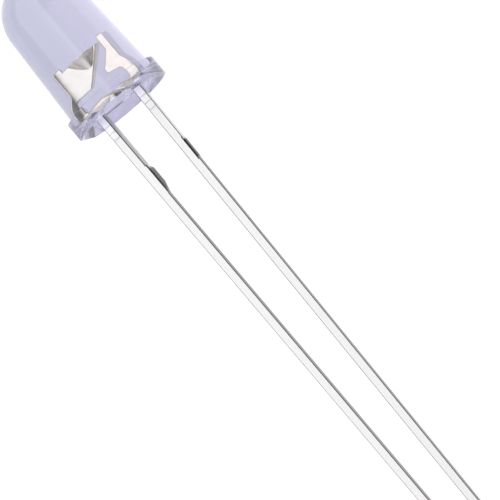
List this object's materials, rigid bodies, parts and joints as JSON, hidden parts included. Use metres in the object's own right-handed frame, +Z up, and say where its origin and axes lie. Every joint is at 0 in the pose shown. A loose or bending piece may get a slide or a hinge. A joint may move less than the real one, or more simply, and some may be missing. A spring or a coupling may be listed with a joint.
{
  "type": "through-hole led",
  "caption": "Round 5 mm clear through-hole LED with a flanged domed lens, a reflector cup inside and straight square leads, lying at rest.",
  "frame": {"origin": "on the surface it lies on, under the middle of its bounding box", "axes": "+Z up; +Y towards the dome along the lens axis as seen from above, the dome end raised about 5 degrees; +X towards the anode side"},
  "size_m": [0.0056, 0.0382, 0.0058],
  "materials": {
    "lens": "clear cast epoxy, smooth, with a pale violet tint",
    "lead": "tinned steel, satin",
    "chip": "polished semiconductor",
    "paste": "silver-filled adhesive, dull",
    "wire": "bright silver alloy"
  },
  "bodies": {
    "root": {"lens": "lens", "cathode_lead": "lead", "anode_lead": "lead", "chip": "chip", "die_attach": "paste", "bond_wire": "wire"}
  },
  "joints": []
}
